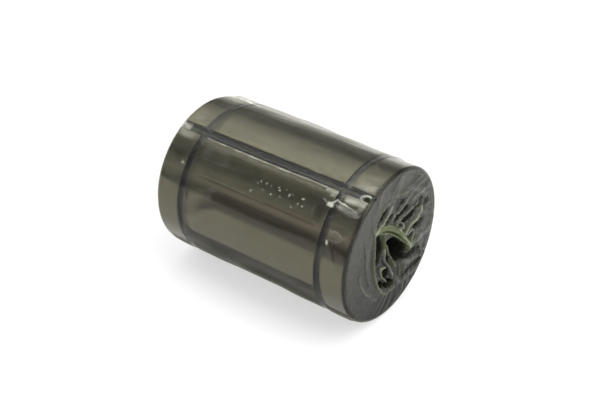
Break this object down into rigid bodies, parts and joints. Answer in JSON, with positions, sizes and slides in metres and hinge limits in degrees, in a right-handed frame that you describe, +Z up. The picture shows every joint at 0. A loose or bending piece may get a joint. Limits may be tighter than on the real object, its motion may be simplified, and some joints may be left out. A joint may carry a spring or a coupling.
{
  "type": "linear ball bushing",
  "caption": "Slotted, adjustable linear ball bushing that carries a round shaft along its axis on recirculating balls, with seals at both ends and two snap-ring grooves.",
  "frame": {"origin": "centre of the shaft bore, half way along the sleeve", "axes": "+X along the bore towards the front end, +Z up as the bushing lies on its side, the slot 26 degrees from +Z towards -Y"},
  "size_m": [0.058, 0.04, 0.04],
  "materials": {
    "sleeve_steel": "ground and lapped bearing steel, faintly olive under oil",
    "ring_steel": "stamped spring steel, satin",
    "ball_steel": "polished chrome steel",
    "cage_plastic": "moulded dark acetal",
    "seal_rubber": "moulded green nitrile rubber",
    "wrap_film": "clear stretch film with a faint green tint"
  },
  "bodies": {
    "housing": {"outer_sleeve": "sleeve_steel", "ball_cage": "cage_plastic", "front_retaining_ring": "ring_steel", "front_seal": "seal_rubber", "rear_retaining_ring": "ring_steel", "rear_seal": "seal_rubber"},
    "circuit_1_loaded": {"circuit_1_loaded_balls": "ball_steel"},
    "circuit_1_front_turn": {"circuit_1_front_turn_balls": "ball_steel"},
    "circuit_1_return": {"circuit_1_return_balls": "ball_steel"},
    "circuit_1_rear_turn": {"circuit_1_rear_turn_balls": "ball_steel"},
    "circuit_2_loaded": {"circuit_2_loaded_balls": "ball_steel"},
    "circuit_2_front_turn": {"circuit_2_front_turn_balls": "ball_steel"},
    "circuit_2_return": {"circuit_2_return_balls": "ball_steel"},
    "circuit_2_rear_turn": {"circuit_2_rear_turn_balls": "ball_steel"},
    "circuit_3_loaded": {"circuit_3_loaded_balls": "ball_steel"},
    "circuit_3_front_turn": {"circuit_3_front_turn_balls": "ball_steel"},
    "circuit_3_return": {"circuit_3_return_balls": "ball_steel"},
    "circuit_3_rear_turn": {"circuit_3_rear_turn_balls": "ball_steel"},
    "circuit_4_loaded": {"circuit_4_loaded_balls": "ball_steel"},
    "circuit_4_front_turn": {"circuit_4_front_turn_balls": "ball_steel"},
    "circuit_4_return": {"circuit_4_return_balls": "ball_steel"},
    "circuit_4_rear_turn": {"circuit_4_rear_turn_balls": "ball_steel"},
    "circuit_5_loaded": {"circuit_5_loaded_balls": "ball_steel"},
    "circuit_5_front_turn": {"circuit_5_front_turn_balls": "ball_steel"},
    "circuit_5_return": {"circuit_5_return_balls": "ball_steel"},
    "circuit_5_rear_turn": {"circuit_5_rear_turn_balls": "ball_steel"},
    "circuit_6_loaded": {"circuit_6_loaded_balls": "ball_steel"},
    "circuit_6_front_turn": {"circuit_6_front_turn_balls": "ball_steel"},
    "circuit_6_return": {"circuit_6_return_balls": "ball_steel"},
    "circuit_6_rear_turn": {"circuit_6_rear_turn_balls": "ball_steel"}
  },
  "joints": [
    {"name": "circuit_1_loaded_travel", "type": "slide", "parent": "housing", "child": "circuit_1_loaded", "axis": [1, 0, 0], "range_m": [0, 0.00405]},
    {"name": "circuit_1_return_travel", "type": "slide", "parent": "housing", "child": "circuit_1_return", "axis": [-1, 0, 0], "range_m": [0, 0.00405]},
    {"name": "circuit_1_front_turn_swing", "type": "hinge", "parent": "housing", "child": "circuit_1_front_turn", "pos_m": [0.01823, -0.01231, 0.00818], "axis": [0, 0.706, -0.7082], "range_deg": [0, 90]},
    {"name": "circuit_1_rear_turn_swing", "type": "hinge", "parent": "housing", "child": "circuit_1_rear_turn", "pos_m": [-0.01823, -0.01231, 0.00818], "axis": [0, 0.706, -0.7082], "range_deg": [0, 90]},
    {"name": "circuit_2_loaded_travel", "type": "slide", "parent": "housing", "child": "circuit_2_loaded", "axis": [1, 0, 0], "range_m": [0, 0.00405]},
    {"name": "circuit_2_return_travel", "type": "slide", "parent": "housing", "child": "circuit_2_return", "axis": [-1, 0, 0], "range_m": [0, 0.00405]},
    {"name": "circuit_2_front_turn_swing", "type": "hinge", "parent": "housing", "child": "circuit_2_front_turn", "pos_m": [0.01823, -0.01324, -0.00657], "axis": [0, 0.9663, 0.2574], "range_deg": [0, 90]},
    {"name": "circuit_2_rear_turn_swing", "type": "hinge", "parent": "housing", "child": "circuit_2_rear_turn", "pos_m": [-0.01823, -0.01324, -0.00657], "axis": [0, 0.9663, 0.2574], "range_deg": [0, 90]},
    {"name": "circuit_3_loaded_travel", "type": "slide", "parent": "housing", "child": "circuit_3_loaded", "axis": [1, 0, 0], "range_m": [0, 0.00405]},
    {"name": "circuit_3_return_travel", "type": "slide", "parent": "housing", "child": "circuit_3_return", "axis": [-1, 0, 0], "range_m": [0, 0.00405]},
    {"name": "circuit_3_front_turn_swing", "type": "hinge", "parent": "housing", "child": "circuit_3_front_turn", "pos_m": [0.01823, -0.00093, -0.01475], "axis": [0, 0.2603, 0.9655], "range_deg": [0, 90]},
    {"name": "circuit_3_rear_turn_swing", "type": "hinge", "parent": "housing", "child": "circuit_3_rear_turn", "pos_m": [-0.01823, -0.00093, -0.01475], "axis": [0, 0.2603, 0.9655], "range_deg": [0, 90]},
    {"name": "circuit_4_loaded_travel", "type": "slide", "parent": "housing", "child": "circuit_4_loaded", "axis": [1, 0, 0], "range_m": [0, 0.00405]},
    {"name": "circuit_4_return_travel", "type": "slide", "parent": "housing", "child": "circuit_4_return", "axis": [-1, 0, 0], "range_m": [0, 0.00405]},
    {"name": "circuit_4_front_turn_swing", "type": "hinge", "parent": "housing", "child": "circuit_4_front_turn", "pos_m": [0.01823, 0.01231, -0.00818], "axis": [0, -0.706, 0.7082], "range_deg": [0, 90]},
    {"name": "circuit_4_rear_turn_swing", "type": "hinge", "parent": "housing", "child": "circuit_4_rear_turn", "pos_m": [-0.01823, 0.01231, -0.00818], "axis": [0, -0.706, 0.7082], "range_deg": [0, 90]},
    {"name": "circuit_5_loaded_travel", "type": "slide", "parent": "housing", "child": "circuit_5_loaded", "axis": [1, 0, 0], "range_m": [0, 0.00405]},
    {"name": "circuit_5_return_travel", "type": "slide", "parent": "housing", "child": "circuit_5_return", "axis": [-1, 0, 0], "range_m": [0, 0.00405]},
    {"name": "circuit_5_front_turn_swing", "type": "hinge", "parent": "housing", "child": "circuit_5_front_turn", "pos_m": [0.01823, 0.01324, 0.00657], "axis": [0, -0.9663, -0.2574], "range_deg": [0, 90]},
    {"name": "circuit_5_rear_turn_swing", "type": "hinge", "parent": "housing", "child": "circuit_5_rear_turn", "pos_m": [-0.01823, 0.01324, 0.00657], "axis": [0, -0.9663, -0.2574], "range_deg": [0, 90]},
    {"name": "circuit_6_loaded_travel", "type": "slide", "parent": "housing", "child": "circuit_6_loaded", "axis": [1, 0, 0], "range_m": [0, 0.00405]},
    {"name": "circuit_6_return_travel", "type": "slide", "parent": "housing", "child": "circuit_6_return", "axis": [-1, 0, 0], "range_m": [0, 0.00405]},
    {"name": "circuit_6_front_turn_swing", "type": "hinge", "parent": "housing", "child": "circuit_6_front_turn", "pos_m": [0.01823, 0.00093, 0.01475], "axis": [0, -0.2603, -0.9655], "range_deg": [0, 90]},
    {"name": "circuit_6_rear_turn_swing", "type": "hinge", "parent": "housing", "child": "circuit_6_rear_turn", "pos_m": [-0.01823, 0.00093, 0.01475], "axis": [0, -0.2603, -0.9655], "range_deg": [0, 90]}
  ],
  "couplings": [
    {"joint": "circuit_1_return_travel", "follows": "circuit_1_loaded_travel", "ratio": 1},
    {"joint": "circuit_1_front_turn_swing", "follows": "circuit_1_loaded_travel", "rad_per_m": 387.85},
    {"joint": "circuit_1_rear_turn_swing", "follows": "circuit_1_loaded_travel", "rad_per_m": 387.85},
    {"joint": "circuit_2_return_travel", "follows": "circuit_2_loaded_travel", "ratio": 1},
    {"joint": "circuit_2_front_turn_swing", "follows": "circuit_2_loaded_travel", "rad_per_m": 387.85},
    {"joint": "circuit_2_rear_turn_swing", "follows": "circuit_2_loaded_travel", "rad_per_m": 387.85},
    {"joint": "circuit_3_return_travel", "follows": "circuit_3_loaded_travel", "ratio": 1},
    {"joint": "circuit_3_front_turn_swing", "follows": "circuit_3_loaded_travel", "rad_per_m": 387.85},
    {"joint": "circuit_3_rear_turn_swing", "follows": "circuit_3_loaded_travel", "rad_per_m": 387.85},
    {"joint": "circuit_4_return_travel", "follows": "circuit_4_loaded_travel", "ratio": 1},
    {"joint": "circuit_4_front_turn_swing", "follows": "circuit_4_loaded_travel", "rad_per_m": 387.85},
    {"joint": "circuit_4_rear_turn_swing", "follows": "circuit_4_loaded_travel", "rad_per_m": 387.85},
    {"joint": "circuit_5_return_travel", "follows": "circuit_5_loaded_travel", "ratio": 1},
    {"joint": "circuit_5_front_turn_swing", "follows": "circuit_5_loaded_travel", "rad_per_m": 387.85},
    {"joint": "circuit_5_rear_turn_swing", "follows": "circuit_5_loaded_travel", "rad_per_m": 387.85},
    {"joint": "circuit_6_return_travel", "follows": "circuit_6_loaded_travel", "ratio": 1},
    {"joint": "circuit_6_front_turn_swing", "follows": "circuit_6_loaded_travel", "rad_per_m": 387.85},
    {"joint": "circuit_6_rear_turn_swing", "follows": "circuit_6_loaded_travel", "rad_per_m": 387.85}
  ]
}
